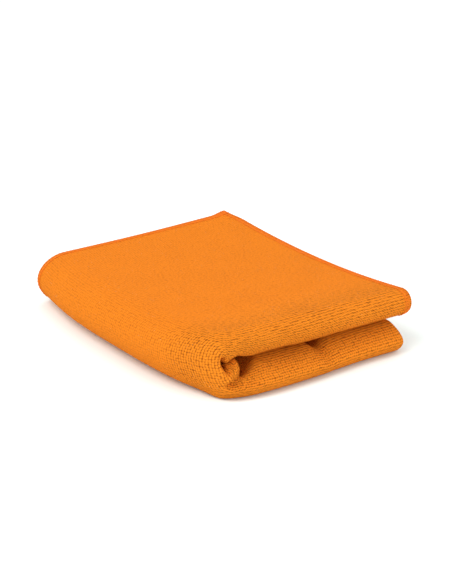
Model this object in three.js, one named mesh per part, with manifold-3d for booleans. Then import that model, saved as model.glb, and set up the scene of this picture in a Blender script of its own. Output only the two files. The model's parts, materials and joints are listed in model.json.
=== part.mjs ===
// A knitted terry towel, folded three times into a flat bundle. Millimetres, +Z up.
//
// The towel is one cloth with four overlocked hems. It is folded in half crosswise, then in half
// lengthwise, which makes a flat packet of four layers, and last in half again like a book.
// The book fold lies along Y at the -X side, with the lower half of the packet under the upper half.
// The lengthwise fold lies along X at the -Y side, where each half shows a round nose.
// The crosswise fold closes the +X end of the lower half; the short hems end the upper half.
// The long hems end both halves at the +Y side.
//
// Layers of the packet are counted by their depth from the outside of the bundle, 0 to 3:
// 0 and 3 are the outer leaf, which wraps round 1 and 2, the inner leaf.
// The origin is on the surface the bundle lies on, under the middle of its box.

import * as THREE from "three";
import { mergeVertices } from "three/addons/utils/BufferGeometryUtils.js";
import Module from "manifold-3d";

const wasm = await Module();
wasm.setup();

// Driving dimensions
const towelLength = 500;
const towelWidth = 300;
const clothThickness = 2.8;
const layerPitch = 4;        // from one layer to the next in the loosely folded bundle
const hemWidth = 4;
const lowerRecess = 4;       // how far the lower half's closed end stops short of the upper half's
const gap = 0.3;             // clearance between neighbouring pieces
const noseSteps = 12;        // facets across half a turn of a nose or of a crosswise fold
const bendSteps = 40;        // facets round a full turn of the book fold

// Derived places
const half = clothThickness / 2;
const bendRadius = 3.5 * layerPitch;                  // middle of the outermost layer in the book fold
const noseRadius = 1.5 * layerPitch;                  // middle of the outer leaf in the nose
const axisZ = half + bendRadius;
const bundleX = towelLength / 4 - (Math.PI / 2 - 1) * bendRadius + half;
const bundleY = towelWidth / 2 - (Math.PI / 2 - 1) * noseRadius + half;
// The book fold's axis runs along Y at axisZ, half a gap beyond bendX.
const bendX = -bundleX / 2 + bendRadius + half;
const noseY = -bundleY / 2 + noseRadius + half;
const noseZ = half + noseRadius;
const startX = bendX + gap;
const endX = bundleX / 2;
const endY = bundleY / 2;
const leafEndY = endY - hemWidth - gap;
const shortHemX = endX - hemWidth;
const turnRadius = layerPitch / 2;                    // middle of the cloth in the crosswise fold
const turnX = endX - lowerRecess - turnRadius - half;

const towel = new THREE.Group();
const lowerHalf = new THREE.Group();
const upperHalf = new THREE.Group();
const bookFold = new THREE.Group();
towel.add(lowerHalf, upperHalf, bookFold);

function terryKnit() {
  return new THREE.MeshStandardMaterial({ color: 0xf08426, roughness: 0.95, metalness: 0 });
}

function overlockThread() {
  return new THREE.MeshStandardMaterial({ color: 0xf28222, roughness: 0.8, metalness: 0 });
}

function addPiece(group, name, geometry, material) {
  const mesh = new THREE.Mesh(geometry, material);
  mesh.name = name;
  group.add(mesh);
}

// Height of a layer's middle, in the lower half and in the upper half.
function layerHeight(depth, isUpper) {
  const height = half + depth * layerPitch;
  return isUpper ? 2 * axisZ - height : height;
}

// Distance of a layer's middle from the axis of the book fold.
function layerRadius(depth) {
  return bendRadius - depth * layerPitch;
}

// Turns a geometry extruded along Z, drawn in (Y, Z), to run along X.
function alongX(geometry, x) {
  const basis = new THREE.Matrix4().makeBasis(
    new THREE.Vector3(0, 1, 0), new THREE.Vector3(0, 0, 1), new THREE.Vector3(1, 0, 0));
  return geometry.applyMatrix4(basis).translate(x, 0, 0);
}

function extrude(shape, depth) {
  return new THREE.ExtrudeGeometry(shape, { depth, bevelEnabled: false, curveSegments: noseSteps });
}

// A leaf's section in (Y, Z): two flat layers joined by a round nose at the -Y side.
function leafSection(radius, centreZ, farY) {
  const shape = new THREE.Shape();
  shape.moveTo(farY, centreZ + radius + half);
  shape.lineTo(noseY, centreZ + radius + half);
  shape.absarc(noseY, centreZ, radius + half, Math.PI / 2, 1.5 * Math.PI, false);
  shape.lineTo(farY, centreZ - radius - half);
  shape.lineTo(farY, centreZ - radius + half);
  shape.lineTo(noseY, centreZ - radius + half);
  shape.absarc(noseY, centreZ, radius - half, 1.5 * Math.PI, Math.PI / 2, true);
  shape.lineTo(farY, centreZ + radius - half);
  return shape;
}

function solid(geometry) {
  geometry.deleteAttribute("normal");
  geometry.deleteAttribute("uv");
  const merged = mergeVertices(geometry, 1e-4);
  return new wasm.Manifold(new wasm.Mesh({
    numProp: 3,
    vertProperties: new Float32Array(merged.attributes.position.array),
    triVerts: new Uint32Array(merged.index.array),
  }));
}

function geometryOf(manifold) {
  const mesh = manifold.getMesh();
  const geometry = new THREE.BufferGeometry();
  geometry.setAttribute("position", new THREE.BufferAttribute(mesh.vertProperties, 3));
  geometry.setIndex(new THREE.BufferAttribute(mesh.triVerts, 1));
  geometry.computeVertexNormals();
  return geometry;
}

function halfSpace(centre) {
  const size = 4 * bundleY;
  const box = new THREE.BoxGeometry(size, size, size);
  return solid(box.translate(...centre.map((way) => way * size / 2)));
}

// A leaf's section turned half a turn round the axis of the book fold.
function leafBend(radius, farY) {
  const centre = 2 * layerPitch;
  const points = [];
  points.push(new THREE.Vector2(centre + radius + half, farY));
  for (let i = 0; i <= noseSteps; i++) {
    const angle = Math.PI * i / noseSteps;
    points.push(new THREE.Vector2(
      centre + (radius + half) * Math.cos(angle), noseY - (radius + half) * Math.sin(angle)));
  }
  points.push(new THREE.Vector2(centre - radius - half, farY));
  points.push(new THREE.Vector2(centre - radius + half, farY));
  for (let i = 0; i <= noseSteps; i++) {
    const angle = Math.PI * (1 - i / noseSteps);
    points.push(new THREE.Vector2(
      centre + (radius - half) * Math.cos(angle), noseY - (radius - half) * Math.sin(angle)));
  }
  points.push(new THREE.Vector2(centre + radius - half, farY));
  points.push(points[0].clone());
  const ring = solid(new THREE.LatheGeometry(points.reverse(), bendSteps));
  const bend = ring.intersect(halfSpace([-1, 0, 0]));
  return geometryOf(bend).translate(bendX, 0, axisZ);
}

// Half a tube with cloth-thick walls, drawn in two dimensions with its opening towards -X.
function halfTubeSection(radius) {
  const shape = new THREE.Shape();
  shape.absarc(0, 0, radius + half, -Math.PI / 2, Math.PI / 2, false);
  shape.absarc(0, 0, radius - half, Math.PI / 2, -Math.PI / 2, true);
  return shape;
}

// A half tube lying along Y from nearY to farY, open towards -X unless it is flipped.
function halfTube(radius, x, z, nearY, farY, flipped) {
  const tube = extrude(halfTubeSection(radius), farY - nearY).rotateX(Math.PI / 2);
  return tube.rotateZ(flipped ? Math.PI : 0).translate(x, flipped ? nearY : farY, z);
}

// A path in (Y, Z) along a packet's bottom, round its nose and back along its top.
class NosePath extends THREE.Curve {
  constructor(radius, farY) {
    super();
    this.radius = radius;
    this.farY = farY;
  }

  // One step for each straight run, and the rest round the nose.
  getPoint(t, target = new THREE.Vector3()) {
    const step = t * (noseSteps + 2);
    const turned = THREE.MathUtils.clamp((step - 1) / noseSteps, 0, 1);
    const angle = Math.PI * (1.5 - turned);
    const back = Math.max(1 - step, step - 1 - noseSteps, 0);
    const y = noseY + this.radius * Math.cos(angle) + back * (this.farY - noseY);
    return target.set(turnX, y, noseZ + this.radius * Math.sin(angle));
  }

  getUtoTmapping(u) {
    return u;
  }
}

// The crosswise fold: a half tube that follows the nose from the bottom layers to the top ones.
function crosswiseFold() {
  const shape = new THREE.Shape();
  shape.absarc(0, 0, turnRadius + half, 0, Math.PI, false);
  shape.absarc(0, 0, turnRadius - half, Math.PI, 0, true);
  const extrudePath = new NosePath(layerPitch, leafEndY);
  return new THREE.ExtrudeGeometry(shape, { steps: noseSteps + 2, extrudePath, curveSegments: noseSteps });
}

function addLeaf(group, name, radius, isUpper) {
  const centreZ = isUpper ? 2 * axisZ - noseZ : noseZ;
  const stopX = isUpper ? shortHemX - gap : turnX - gap;
  const length = stopX - startX;
  addPiece(group, name, alongX(extrude(leafSection(radius, centreZ, leafEndY), length), startX), terryKnit());
}

function addShortHem(name, radius) {
  const section = leafSection(radius, 2 * axisZ - noseZ, endY);
  addPiece(upperHalf, name, alongX(extrude(section, hemWidth), shortHemX), overlockThread());
}

// A straight run of a long hem along the +Y end of one layer.
function addLongHemRun(group, name, depth, isUpper) {
  const stopX = isUpper ? shortHemX - gap : turnX - gap;
  const box = new THREE.BoxGeometry(stopX - startX, hemWidth, clothThickness);
  box.translate((startX + stopX) / 2, endY - hemWidth / 2, layerHeight(depth, isUpper));
  addPiece(group, name, box, overlockThread());
}

function addLongHem(name, outerLeafDepth, innerLeafDepth) {
  const leaves = { outer: outerLeafDepth, inner: innerLeafDepth };
  for (const [leaf, depth] of Object.entries(leaves)) {
    addLongHemRun(lowerHalf, `${name}_${leaf}_lower`, depth, false);
    addLongHemRun(upperHalf, `${name}_${leaf}_upper`, depth, true);
    const bend = halfTube(layerRadius(depth), bendX, axisZ, endY - hemWidth, endY, true);
    addPiece(bookFold, `${name}_${leaf}_bend`, bend, overlockThread());
  }
  const turnZ = layerHeight((outerLeafDepth + innerLeafDepth) / 2, false);
  const turn = halfTube(turnRadius, turnX, turnZ, endY - hemWidth, endY, false);
  addPiece(lowerHalf, `${name}_turn`, turn, overlockThread());
}

const innerNoseRadius = layerPitch / 2;
addLeaf(lowerHalf, "outer_leaf_lower", noseRadius, false);
addLeaf(lowerHalf, "inner_leaf_lower", innerNoseRadius, false);
addPiece(lowerHalf, "crosswise_fold", crosswiseFold(), terryKnit());
addLeaf(upperHalf, "outer_leaf_upper", noseRadius, true);
addLeaf(upperHalf, "inner_leaf_upper", innerNoseRadius, true);
addPiece(bookFold, "outer_leaf_bend", leafBend(noseRadius, leafEndY), terryKnit());
addPiece(bookFold, "inner_leaf_bend", leafBend(innerNoseRadius, leafEndY), terryKnit());
addShortHem("short_hem_outer", noseRadius);
addShortHem("short_hem_inner", innerNoseRadius);
addLongHem("long_hem_outside", 0, 1);
addLongHem("long_hem_inside", 3, 2);

export default towel;
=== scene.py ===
import json
import math

import bpy
import numpy as np
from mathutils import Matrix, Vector


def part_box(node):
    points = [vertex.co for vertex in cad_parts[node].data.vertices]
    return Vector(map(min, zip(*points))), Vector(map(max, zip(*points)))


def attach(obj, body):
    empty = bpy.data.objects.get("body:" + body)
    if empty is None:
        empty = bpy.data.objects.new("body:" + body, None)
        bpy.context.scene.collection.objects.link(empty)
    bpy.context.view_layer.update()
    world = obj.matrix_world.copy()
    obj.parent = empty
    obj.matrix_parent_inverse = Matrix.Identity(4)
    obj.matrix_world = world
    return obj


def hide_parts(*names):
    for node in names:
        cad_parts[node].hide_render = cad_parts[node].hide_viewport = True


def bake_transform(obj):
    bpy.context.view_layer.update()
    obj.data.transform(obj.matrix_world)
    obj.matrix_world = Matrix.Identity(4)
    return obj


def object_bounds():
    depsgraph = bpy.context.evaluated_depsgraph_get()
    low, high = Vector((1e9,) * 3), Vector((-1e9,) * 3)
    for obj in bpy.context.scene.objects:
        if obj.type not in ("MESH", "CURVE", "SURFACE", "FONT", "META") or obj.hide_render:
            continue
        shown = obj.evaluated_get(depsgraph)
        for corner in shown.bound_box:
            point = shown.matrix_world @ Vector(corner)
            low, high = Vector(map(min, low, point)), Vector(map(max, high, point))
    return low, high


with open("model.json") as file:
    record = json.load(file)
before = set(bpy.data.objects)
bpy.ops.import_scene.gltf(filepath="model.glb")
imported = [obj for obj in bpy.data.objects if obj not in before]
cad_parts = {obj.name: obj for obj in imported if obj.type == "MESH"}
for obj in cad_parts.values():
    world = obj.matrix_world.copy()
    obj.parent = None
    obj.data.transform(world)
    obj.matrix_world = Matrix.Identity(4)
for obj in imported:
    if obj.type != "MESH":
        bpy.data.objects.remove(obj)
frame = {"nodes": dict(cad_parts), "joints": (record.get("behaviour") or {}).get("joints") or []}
cad_low, cad_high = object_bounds()

# ---- The folded cloth, from the frame -------------------------------------------------------

LENGTH = 0.5                 # the towel as it was cut
WIDTH = 0.3

low, high = cad_low, cad_high
hem_low, hem_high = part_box("long_hem_outside_outer_lower")
CLOTH = hem_high.z - hem_low.z
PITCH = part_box("long_hem_outside_inner_lower")[0].z - hem_low.z
HEM = hem_high.y - hem_low.y
AXIS_X, _, AXIS_Z = next(j for j in frame["joints"] if j["name"] == "book_fold")["pos_m"]
FRONT_Y, BACK_Y = low.y, high.y
UPPER_END_X = high.x
LOWER_END_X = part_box("crosswise_fold")[1].x
TURN_RADIUS = PITCH / 2
NOSE_RADIUS = 1.5 * PITCH
NOSE_Y = FRONT_Y + NOSE_RADIUS + CLOTH / 2
NOSE_Z = NOSE_RADIUS + CLOTH / 2
TOP_Z = 2 * AXIS_Z
QUARTER = math.pi / 2

# The bundle's top, front to back, each row from the book fold to the open end
TOP_HEIGHTS = ((0.0309, 0.0303, 0.0298), (0.0266, 0.0272, 0.0243), (0.0236, 0.0258, 0.0275))

# How far each side of the bundle is moved, at even spaces along it: + is towards +X or +Y
BOOK_FOLD_SIDE = (0.0068, 0.0004, -0.0015, -0.0016, 0.0030)    # from the front to the back
OPEN_END = (0.0012, 0.0002, -0.0018)                           # from the front to the back
LOWER_NOSE = (0.0018, -0.0046, -0.0042, -0.0011, 0)            # from the book fold to the end
UPPER_NOSE = (0.0017, 0, 0.0015, 0.0022)
BACK_EDGES = (0.0022, -0.0003, 0.0015)
LOWER_SHARE = (0.53, 0.51, 0.53)    # the lower half's share of the height at the front
NEAR_CORNER = 0.0024                # how far the near corner is pushed in
NEAR_CORNER_REACH = 0.030
FAR_CORNER_IN = 0.0034              # how far the far corner is rounded off
FAR_CORNER_UP = 0.0010              # and how far it curls up
FAR_CORNER_REACH = 0.013

# The opening between the two noses. Depths run in from the front, the rest from the fold's axis
OPENING_START = 0.010        # the opening keeps its full shape this far in
OPENING_DEPTH = 0.055        # and has closed here
DROP_START = 0.025           # the same for how far the lower half drops away from the upper
DROP_DEPTH = 0.075
HOLE_RADIUS = 0.0021         # the hole that is left in the middle of the book fold
HOLE_WIDENS = 0.8            # the share it gains further in
HOLE_STRETCH = 0.0017        # how much longer than wide it is
HOLE_SLANT = math.radians(122)
HOLE_REACH = (0.0060, 0.0145)      # the cloth round it moves fully up to here, and not beyond
SEAM_SPACING = 0.004
SEAM = (0, 0.0006, 0.0021, 0.0012, 0.0006, 0.0008,     # how high the line between the two noses
        0.0009, 0.0010, 0.0010, 0.0009, 0.0006, 0.0004)    # runs, every SEAM_SPACING from the axis
PINCH = 0.0007               # how far the noses part just before the lip
LIP = 0.0095                 # the lower nose leans back and drops away past this lip
LIP_WIDTH = 0.0030
LEAN = (0.0090, 0.0090, 0.0070)    # from the book fold to the open end
POCKET_DROP = 0.0066
POCKET_START = 0.0080
POCKET_END = 0.0235
POCKET_DEEPENS = 0.70        # the share it gains further in
GAP_DROP = 0.0011
DIMPLE_DROP = 0.0033
DIMPLE_RIGHT = 0.0545
DIMPLE_WIDTH = 0.003


def smooth(low_edge, high_edge, value):
    t = np.clip((value - low_edge) / (high_edge - low_edge), 0, 1)
    return t * t * (3 - 2 * t)


def curve(values, t):
    """A smooth curve through evenly spaced values, for t from 0 to 1."""
    values = np.asarray(values, float)
    spans = len(values) - 1
    place = np.clip(t, 0, 1) * spans
    first = np.minimum(place.astype(int), spans - 1)
    f = place - first
    padded = np.concatenate([[2 * values[0] - values[1]], values, [2 * values[-1] - values[-2]]])
    a, b, c, d = padded[first], padded[first + 1], padded[first + 2], padded[first + 3]
    return b + 0.5 * f * (c - a + f * (2 * a - 5 * b + 4 * c - d + f * (3 * (b - c) + d - a)))


# ---- The three folds ------------------------------------------------------------------------

def crosswise_fold(u):
    """The first fold. Gives the distance in from its axis, and the leaf: 0 outer to 1 inner."""
    across = u - LENGTH / 2
    turn = np.clip(across / TURN_RADIUS, -QUARTER, QUARTER)
    flat = np.maximum(np.abs(across) - QUARTER * TURN_RADIUS, 0)
    return flat - TURN_RADIUS * np.cos(turn), 0.5 + 0.5 * np.sin(turn)


def lengthwise_fold(v, leaf):
    """The second fold, along the noses. Gives y and the height in the packet, 0 outermost."""
    radius = NOSE_RADIUS - leaf * PITCH
    across = v - WIDTH / 2
    turn = np.clip(across / radius, -QUARTER, QUARTER)
    flat = np.maximum(np.abs(across) - QUARTER * radius, 0)
    flat = flat * (BACK_Y - NOSE_Y) / (WIDTH / 2 - QUARTER * radius)
    return NOSE_Y + flat - radius * np.cos(turn), NOSE_Z - radius * np.sin(turn)


def book_fold(inward, z):
    """The last fold. Its outer layers take more cloth to go round than its inner ones."""
    packet = LENGTH / 2 - QUARTER * TURN_RADIUS
    along = (packet - TURN_RADIUS) / 2 - inward
    radius = AXIS_Z - z
    angle = np.clip(along / radius, -QUARTER, QUARTER)
    beyond = np.maximum(np.abs(along) - QUARTER * radius, 0)
    longest = (packet + TURN_RADIUS) / 2 - QUARTER * radius
    end_x = np.where(along > 0, LOWER_END_X - CLOTH / 2, UPPER_END_X)
    beyond = beyond * (end_x - AXIS_X) / longest
    return AXIS_X + beyond - radius * np.cos(angle), AXIS_Z - radius * np.sin(angle)


def folded(u, v):
    """A point of the cloth's middle in a bundle with perfectly round, even folds."""
    inward, leaf = crosswise_fold(u)
    y, z = lengthwise_fold(v, leaf)
    x, z = book_fold(inward, z)
    return np.stack([x, y, z], axis=-1)


def folded_normal(u, v):
    step = 2e-5
    along_u = folded(u + step, v) - folded(u - step, v)
    along_v = folded(u, v + step) - folded(u, v - step)
    normal = np.cross(along_u, along_v)
    return normal / np.linalg.norm(normal, axis=-1, keepdims=True)


# ---- How the bundle rests -------------------------------------------------------------------

def part_the_noses(x, y, z):
    """Opens the front of the book fold: a hole, a closed seam, a lip, a pocket and a dimple."""
    right, rise = x - AXIS_X, z - AXIS_Z
    is_lower = rise < 0
    depth = y - FRONT_Y
    front = 1 - smooth(OPENING_START, OPENING_DEPTH, depth)
    height = z / AXIS_Z
    held_low = height * (height + (1 - height) * smooth(0, 0.010, depth))
    from_lip = right - 1.2 * rise + 100 * rise ** 2
    past_lip = smooth(LIP, LIP + LIP_WIDTH, from_lip) * smooth(-0.006, 0.002, right)
    by_pocket = 1 - smooth(0.012, 0.025, right)
    slope = (smooth(0.3, 0.95, height) * (1 - by_pocket)
             + 0.5 * smooth(0.25, 0.6, height) * by_pocket)
    lean = curve(LEAN, right / (high.x - AXIS_X)) * past_lip * slope
    deeper = 1 + POCKET_DEEPENS * smooth(0.001, 0.012, depth)
    pocket = POCKET_DROP * (1 - smooth(POCKET_START, POCKET_END, right))
    drop = past_lip * deeper * (GAP_DROP + pocket)
    drop = drop * smooth(0, 0.005, right)
    drop = drop + DIMPLE_DROP * deeper * np.exp(-((right - DIMPLE_RIGHT) / DIMPLE_WIDTH) ** 2)

    pinch = PINCH * np.tanh(rise / 0.0008) * smooth(0.0012, 0.0035, right)
    pinch = pinch * (1 - smooth(0.0075, 0.0100, right))
    seam = curve(SEAM, right / (SEAM_SPACING * (len(SEAM) - 1))) * (right > 0)
    near_seam = np.clip(1 - np.abs(rise) / AXIS_Z, 0, 1)
    turned = right + 1j * (rise + (seam - pinch) * near_seam * front)
    distance = np.abs(turned)
    opened = front * (1 - smooth(*HOLE_REACH, distance))
    radius = HOLE_RADIUS * (1 + HOLE_WIDENS * smooth(0.006, 0.018, depth))
    turned = turned * np.sqrt(1 + opened * (radius / distance) ** 2)
    turned = turned + opened * HOLE_STRETCH ** 2 * np.exp(2j * HOLE_SLANT) / turned
    dropped = np.where(is_lower, drop * held_low, 0) * (1 - smooth(DROP_START, DROP_DEPTH, depth))
    z = AXIS_Z + turned.imag - dropped
    return AXIS_X + turned.real, y + np.where(is_lower, lean, 0) * front, z


def settle(point):
    """From the even folds to the loose bundle: a sagging top, bowed sides and soft corners."""
    x, y, z = part_the_noses(point[..., 0], point[..., 1], point[..., 2])
    a = np.clip((x - low.x) / (high.x - low.x), 0, 1)
    b = np.clip((y - low.y) / (high.y - low.y), 0, 1)
    front, middle, back = [curve(row, a) for row in TOP_HEIGHTS]
    top = front * (1 - b) * (1 - 2 * b) + middle * 4 * b * (1 - b) + back * b * (2 * b - 1)
    share = 0.5 + (curve(LOWER_SHARE, a) - 0.5) * (1 - smooth(0, 0.6, b))
    c = z / TOP_Z
    z = top * np.where(c < 0.5, 2 * c * share, share + (2 * c - 1) * (1 - share))
    is_upper = smooth(0.4, 0.6, c)
    nose = curve(LOWER_NOSE, a) * (1 - is_upper) + curve(UPPER_NOSE, a) * is_upper
    from_corner = np.hypot(x - low.x, y - low.y)
    pushed_in = NEAR_CORNER * (1 - smooth(0, NEAR_CORNER_REACH, from_corner))
    side_reach = 0.17 + 0.43 * smooth(0, 0.6, b)
    side = (curve(BOOK_FOLD_SIDE, b) * (1 - smooth(0, side_reach, a))
            + curve(OPEN_END, b) * smooth(0.4, 1, a))
    rounded = is_upper * (1 - smooth(0, FAR_CORNER_REACH, np.hypot(high.x - x, high.y - y)))
    x = x + side + pushed_in - FAR_CORNER_IN * rounded
    y = y + nose * (1 - smooth(0, 0.5, b)) + curve(BACK_EDGES, a) * smooth(0.5, 1, b) + pushed_in
    z = z + FAR_CORNER_UP * rounded
    return np.stack([x, y, z], axis=-1)


# ---- The cloth's mesh -----------------------------------------------------------------------

COARSE_STEP = 0.0026
LENGTH_FOLDS = ((0.145, 0.028, 0.0007), (0.25, 0.004, 0.0006), (0.375, 0.008, 0.0006))
WIDTH_FOLDS = ((0.15, 0.016, 0.0008),)
EDGE_THICKNESS = 0.80        # the cloth's share of its thickness at its very edge


def grid_lines(size, folds, coarse=COARSE_STEP):
    """Grid lines from 0 to size, close together at each fold, given as (place, reach, step)."""
    lines = [0.0]
    while lines[-1] < size:
        step = coarse
        for place, reach, fine in folds:
            away = max(abs(lines[-1] - place) - reach, 0)
            step = min(step, fine + away * 0.15)
        lines.append(lines[-1] + step)
    lines = np.array(lines)
    return lines * size / lines[-1]


def new_piece(name, points, faces):
    mesh = bpy.data.meshes.new(name)
    mesh.from_pydata(points, [], faces)
    mesh.shade_smooth()
    piece = bpy.data.objects.new(name, mesh)
    bpy.context.scene.collection.objects.link(piece)
    return piece


def true_lengths(side, us, vs):
    """Where each point lies in the knit: metres of cloth from the book fold and from the noses."""
    lengths = []
    for axis, lines, fold in ((0, us, LENGTH / 4), (1, vs, WIDTH / 2)):
        steps = np.linalg.norm(np.diff(side, axis=axis), axis=-1)
        run = np.insert(np.cumsum(steps, axis=axis), 0, 0, axis=axis)
        at_fold = run.take([np.searchsorted(lines, fold)], axis=axis)
        lengths.append(run - at_fold + fold)
    return np.stack(lengths, -1).reshape(-1, 2)


def build_cloth():
    us = grid_lines(LENGTH, LENGTH_FOLDS)
    vs = grid_lines(WIDTH, WIDTH_FOLDS)
    u, v = np.meshgrid(us, vs, indexing="ij")
    middle = folded(u, v)
    edge = np.minimum(np.minimum(u, LENGTH - u), np.minimum(v, WIDTH - v))
    thick = CLOTH * (EDGE_THICKNESS + (1 - EDGE_THICKNESS) * smooth(0.0005, HEM, edge))
    reach = folded_normal(u, v) * thick[..., None] / 2
    even = [middle + reach, middle - reach]
    sides = [settle(side) for side in even]
    points = np.concatenate([side.reshape(-1, 3) for side in sides])
    count = u.size
    index = np.arange(count).reshape(u.shape)
    quads = [index[:-1, :-1], index[1:, :-1], index[1:, 1:], index[:-1, 1:]]
    quads = np.stack(quads, -1).reshape(-1, 4)
    loop = np.concatenate([index[:, 0], index[-1, 1:], index[-2::-1, -1], index[0, -2:0:-1]])
    following = np.roll(loop, -1)
    rim = np.stack([following, loop, loop + count, following + count], -1)
    faces = np.concatenate([quads, quads[:, ::-1] + count, rim])
    piece = new_piece("cloth", points, faces.tolist())
    pattern = np.concatenate([true_lengths(side, us, vs) for side in sides])
    corner = np.empty(len(piece.data.loops), np.int32)
    piece.data.loops.foreach_get("vertex_index", corner)
    layer = piece.data.uv_layers.new(name="knit")
    layer.data.foreach_set("uv", pattern[corner].astype(np.float32).ravel())
    return piece, np.concatenate([side.reshape(-1, 3) for side in even])


# ---- The overlocked hems --------------------------------------------------------------------

STITCH = 0.0020
THREAD_RADIUS = 0.00019
THREAD_SIDES = 5
TURN_POINTS = 10


def edge_point(edge, along, inside, off):
    """A place near an edge of the evenly folded cloth: along it, in from it and off its middle."""
    held = np.maximum(inside, 0)
    if edge.startswith("long"):
        u, v = along, held if edge == "long_near" else WIDTH - held
        away = np.array([0.0, 1.0, 0.0])
    else:
        u, v = held if edge == "short_near" else LENGTH - held, along
        away = np.array([1.0, 0.0, 0.0])
    beyond = np.maximum(-inside, 0)
    return folded(u, v) + folded_normal(u, v) * off[..., None] + away * beyond[..., None]


def tube(path, radius):
    """A closed thread along a path: its points and its faces."""
    ahead = np.gradient(path, axis=0)
    ahead /= np.linalg.norm(ahead, axis=1, keepdims=True)
    side = np.cross(ahead, np.array([0.31, 0.52, 0.80]))
    side /= np.linalg.norm(side, axis=1, keepdims=True)
    other = np.cross(ahead, side)
    angles = np.arange(THREAD_SIDES) * 2 * math.pi / THREAD_SIDES
    ring = side[:, None] * np.cos(angles)[:, None] + other[:, None] * np.sin(angles)[:, None]
    points = (path[:, None] + ring * radius).reshape(-1, 3)
    faces = []
    for i in range(len(path) - 1):
        for k in range(THREAD_SIDES):
            a, b = i * THREAD_SIDES + k, i * THREAD_SIDES + (k + 1) % THREAD_SIDES
            faces.append((a, b, b + THREAD_SIDES, a + THREAD_SIDES))
    last = (len(path) - 1) * THREAD_SIDES
    faces.append(tuple(range(THREAD_SIDES))[::-1])
    faces.append(tuple(last + k for k in range(THREAD_SIDES)))
    return points, faces


def build_hem(name, edge):
    """Two threads wound opposite ways round the edge, and a row of needle thread on each face."""
    length = LENGTH if edge.startswith("long") else WIDTH
    turns = round(length / STITCH)
    winding = np.linspace(0, turns, turns * TURN_POINTS + 1)
    along = np.clip(winding * STITCH, 0.0006, length - 0.0006)
    half_cloth = CLOTH * 0.40
    threads = []
    for way in (1, -1):
        angle = way * 2 * math.pi * winding
        inside = HEM * 0.5 * (0.93 + 0.95 * np.cos(angle))
        bulge = np.clip(1.5 * np.sin(angle), -1, 1)
        off = (half_cloth + 0.2 * (CLOTH / 2 - half_cloth) + THREAD_RADIUS) * bulge
        threads.append(edge_point(edge, along, inside, off))
    for face in (1, -1):
        wave = np.cos(2 * math.pi * winding)
        inside = HEM * (0.93 + 0.03 * wave)
        off = face * (half_cloth * 1.3 + THREAD_RADIUS * (0.6 + 0.5 * wave))
        threads.append(edge_point(edge, along, inside, off))
    points, even, faces, count = [], [], [], 0
    for path in threads:
        rested = settle(path)
        rested[:, 2] = np.maximum(rested[:, 2], THREAD_RADIUS)
        tube_points, tube_faces = tube(rested, THREAD_RADIUS)
        points.append(tube_points)
        even.append(np.repeat(path, THREAD_SIDES, axis=0))
        faces += [tuple(count + i for i in face) for face in tube_faces]
        count += len(tube_points)
    return new_piece(name, np.concatenate(points), faces), np.concatenate(even)


def bend_with_the_book_fold(piece):
    """Bakes the piece's transform into its mesh."""
    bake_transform(piece)


# ---- Materials ------------------------------------------------------------------------------

class Nodes:
    """Short names for making and joining a material's nodes."""

    def __init__(self, name):
        self.material = bpy.data.materials.new(name)
        self.material.use_nodes = True
        self.tree = self.material.node_tree
        self.shader = self.tree.nodes["Principled BSDF"]

    def add(self, kind, inputs=(), **settings):
        node = self.tree.nodes.new(kind)
        for key, value in settings.items():
            setattr(node, key, value)
        for key, value in dict(inputs).items():
            self.join(value, node.inputs[key])
        return node

    def join(self, value, socket):
        if isinstance(value, bpy.types.NodeSocket):
            self.tree.links.new(value, socket)
        else:
            socket.default_value = value

    def math(self, operation, first, second=0.0):
        return self.add("ShaderNodeMath", {0: first, 1: second}, operation=operation).outputs[0]

    def remap(self, value, low_in, high_in, low_out, high_out):
        inputs = {"Value": value, "From Min": low_in, "From Max": high_in,
                  "To Min": low_out, "To Max": high_out}
        return self.add("ShaderNodeMapRange", inputs, interpolation_type="SMOOTHSTEP").outputs[0]

    def mix(self, share, first, second):
        node = self.add("ShaderNodeMix", data_type="RGBA")
        for key, value in ((0, share), (6, first), (7, second)):
            self.join(value, node.inputs[key])
        return node.outputs[2]


ROW = 0.00142                # from one row of loops to the next
LOOP = 0.00125               # from one loop to the next in a row
LOOP_WANDER = 0.34           # how far each loop strays from its place
SHALLOW, DEEP = 0.0005, 0.0009                     # the loops' relief, and the deeper relief near the noses
NOSE_CONTRAST_REACH = (0.006, 0.040)                      # how far from a nose's middle the deeper relief, painted shade and painted highlight reach
# Painted shade: the colour between the loops is darker than on their crowns, standing in for the
# shade that falls between them.
PAINTED_GAP_SHADE, NOSE_PAINTED_SHADE = (0.58, 0.146, 0.010, 1), (0.37, 0.080, 0.006, 1)
# Near the noses the gaps are painted darker still and the crowns lighter: painted shade and painted
# highlight.
CROWN, NOSE_PAINTED_HIGHLIGHT = (0.79, 0.211, 0.013, 1), (0.94, 0.268, 0.018, 1)
SHEEN = (1.0, 0.30, 0.03, 1)
THREAD_DARK, THREAD_LIGHT = (0.68, 0.150, 0.009, 1), (0.84, 0.200, 0.013, 1)


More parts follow.
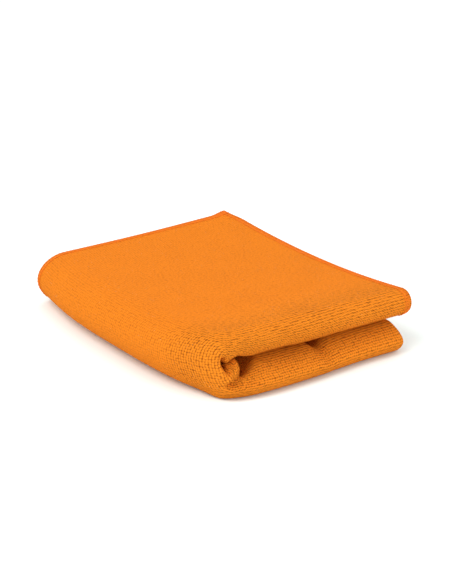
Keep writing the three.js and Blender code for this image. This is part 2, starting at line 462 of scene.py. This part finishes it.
def terry_material():
    nodes = Nodes("terry_knit")
    place = nodes.add("ShaderNodeUVMap", uv_map="knit").outputs[0]
    cells = nodes.add("ShaderNodeVectorMath", {0: place, 1: (1 / LOOP, 1 / ROW, 1)},
                      operation="MULTIPLY").outputs[0]
    loops = nodes.add("ShaderNodeTexVoronoi",
                      {"Vector": cells, "Scale": 1.0, "Randomness": LOOP_WANDER},
                      voronoi_dimensions="2D").outputs["Distance"]
    from_middle = nodes.math("MULTIPLY", loops, 1.45)
    bead = nodes.math("SUBTRACT", 1, nodes.math("POWER", from_middle, 2))
    across = nodes.add("ShaderNodeSeparateXYZ", {0: cells}).outputs[1]
    across_metres = nodes.add("ShaderNodeSeparateXYZ", {0: place}).outputs[1]
    row_turn = nodes.math("MULTIPLY", nodes.math("SUBTRACT", across, 0.2), 2 * math.pi)
    row = nodes.math("COSINE", row_turn)
    height = nodes.math("ADD", nodes.math("MULTIPLY", bead, 0.75),
                        nodes.math("MULTIPLY", row, 0.09))
    fibres = nodes.add("ShaderNodeTexNoise",
                       {"Vector": cells, "Scale": 5.0, "Detail": 4.0, "Roughness": 0.65},
                       noise_dimensions="2D").outputs[0]
    relief = nodes.math("ADD", height, nodes.math("MULTIPLY", fibres, 0.5))
    from_nose = nodes.math("ABSOLUTE", nodes.math("SUBTRACT", across_metres, WIDTH / 2))
    # Near a nose the relief is deeper, and the colour gets painted shade in the gaps and a painted
    # highlight on the crowns.
    deeper_relief_and_painted_contrast = nodes.remap(from_nose, *NOSE_CONTRAST_REACH, 1, 0)
    depth = nodes.remap(deeper_relief_and_painted_contrast, 0, 1, SHALLOW, DEEP)
    bump = nodes.add("ShaderNodeBump",
                     {"Strength": 1.0, "Distance": depth, "Height": relief}).outputs[0]
    nodes.join(bump, nodes.shader.inputs["Normal"])
    patch = nodes.add("ShaderNodeTexNoise", {"Vector": place, "Scale": 60.0, "Detail": 3.0},
                      noise_dimensions="2D").outputs[0]
    mottle = nodes.math("ADD", nodes.math("MULTIPLY", patch, 0.3),
                        nodes.math("MULTIPLY", fibres, 0.5))
    # Painted shade: the lower a point lies in the loops' relief, the darker its colour; the mottle
    # added to it is random tone.
    painted_shade_and_mottle = nodes.remap(nodes.math("ADD", height, mottle), 0.2, 1.10, 0, 1)
    gap_colour_with_painted_shade = nodes.mix(deeper_relief_and_painted_contrast, PAINTED_GAP_SHADE, NOSE_PAINTED_SHADE)
    crown_with_painted_highlight = nodes.mix(deeper_relief_and_painted_contrast, CROWN, NOSE_PAINTED_HIGHLIGHT)
    colour = nodes.mix(painted_shade_and_mottle, gap_colour_with_painted_shade, crown_with_painted_highlight)
    nodes.join(colour, nodes.shader.inputs["Base Color"])
    nodes.shader.inputs["Roughness"].default_value = 0.95
    nodes.shader.inputs["Specular IOR Level"].default_value = 0.04
    nodes.shader.inputs["Sheen Weight"].default_value = 0.25
    nodes.shader.inputs["Sheen Roughness"].default_value = 0.4
    nodes.shader.inputs["Sheen Tint"].default_value = SHEEN
    return nodes.material


def thread_material():
    nodes = Nodes("overlock_thread")
    place = nodes.add("ShaderNodeTexCoord").outputs["Object"]
    twist = nodes.add("ShaderNodeTexNoise",
                      {"Vector": place, "Scale": 2600.0, "Detail": 2.0}).outputs[0]
    bump = nodes.add("ShaderNodeBump",
                     {"Strength": 0.5, "Distance": 0.0001, "Height": twist}).outputs[0]
    nodes.join(bump, nodes.shader.inputs["Normal"])
    colour = nodes.mix(twist, THREAD_DARK, THREAD_LIGHT)
    nodes.join(colour, nodes.shader.inputs["Base Color"])
    nodes.shader.inputs["Roughness"].default_value = 0.75
    nodes.shader.inputs["Specular IOR Level"].default_value = 0.15
    return nodes.material


# ---- Floor, light and camera ----------------------------------------------------------------

FLOOR_REACH = 3.0
FLOOR_COLOUR = (0.88, 0.96, 0.94, 1)
WORLD_STRENGTH = 1.04


def add_floor():
    mesh = bpy.data.meshes.new("floor")
    size = FLOOR_REACH
    corners = [(-size, -size, 0), (size, -size, 0), (size, size, 0), (-size, size, 0)]
    mesh.from_pydata(corners, [], [(0, 1, 2, 3)])
    floor = bpy.data.objects.new("floor", mesh)
    bpy.context.scene.collection.objects.link(floor)
    material = bpy.data.materials.new("floor")
    material.use_nodes = True
    shader = material.node_tree.nodes["Principled BSDF"]
    shader.inputs["Base Color"].default_value = FLOOR_COLOUR
    shader.inputs["Roughness"].default_value = 0.9
    floor.data.materials.append(material)


def add_area_light(name, place, aim, size, power):
    light = bpy.data.lights.new(name, "AREA")
    light.size = size
    light.energy = power
    lamp = bpy.data.objects.new(name, light)
    lamp.location = place
    lamp.rotation_euler = (Vector(aim) - Vector(place)).to_track_quat("-Z", "Y").to_euler()
    bpy.context.scene.collection.objects.link(lamp)


def add_light():
    world = bpy.data.worlds.new("studio")
    bpy.context.scene.world = world
    world.use_nodes = True
    world.node_tree.nodes["Background"].inputs["Color"].default_value = (1, 1, 1, 1)
    world.node_tree.nodes["Background"].inputs["Strength"].default_value = WORLD_STRENGTH
    add_area_light("softbox", (-0.8, -0.1, 1.0), (0, 0, 0), 0.9, 8.8)
    add_area_light("fill", (0.35, -0.95, 0.28), (0, 0, 0.01), 0.6, 3.2)


CAMERA_AZIMUTH = -33.3
CAMERA_ELEVATION = 21.2
CAMERA_DISTANCE = 0.808
CAMERA_LENS = 105
AIM_HEIGHT = 0.017
AIM_RIGHT = 0.0046
AIM_UP = 0.0013


def add_camera():
    camera = bpy.data.cameras.new("camera")
    camera.lens = CAMERA_LENS
    camera.sensor_width = 36
    camera.clip_start = 0.01
    viewer = bpy.data.objects.new("camera", camera)
    azimuth, elevation = math.radians(CAMERA_AZIMUTH), math.radians(CAMERA_ELEVATION)
    back = Vector((math.sin(azimuth) * math.cos(elevation),
                   -math.cos(azimuth) * math.cos(elevation), math.sin(elevation)))
    right = Vector((math.cos(azimuth), math.sin(azimuth), 0))
    up = back.cross(right)
    aim = Vector((0, 0, AIM_HEIGHT)) + right * AIM_RIGHT + up * AIM_UP
    viewer.location = aim + back * CAMERA_DISTANCE
    viewer.rotation_euler = back.to_track_quat("Z", "Y").to_euler()
    bpy.context.scene.collection.objects.link(viewer)
    bpy.context.scene.camera = viewer


# ---- The scene ------------------------------------------------------------------------------

add_floor()
add_light()
add_camera()
bpy.context.scene.view_settings.view_transform = "Standard"

cloth, even_cloth = build_cloth()
cloth.data.materials.append(terry_material())
bend_with_the_book_fold(cloth)
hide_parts("outer_leaf_lower", "outer_leaf_upper", "outer_leaf_bend", "crosswise_fold",
            "inner_leaf_lower", "inner_leaf_upper", "inner_leaf_bend")

thread = thread_material()
for name, edge in (("long_hem_outside", "long_far"), ("long_hem_inside", "long_near"),
                   ("short_hem_outer", "short_near"), ("short_hem_inner", "short_far")):
    hem, even_hem = build_hem(name + "_stitches", edge)
    hem.data.materials.append(thread)
    if edge.startswith("long"):
        bend_with_the_book_fold(hem)
    else:
        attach(hem, "upper_half")
    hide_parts(*[node for node in frame["nodes"] if node.startswith(name)])
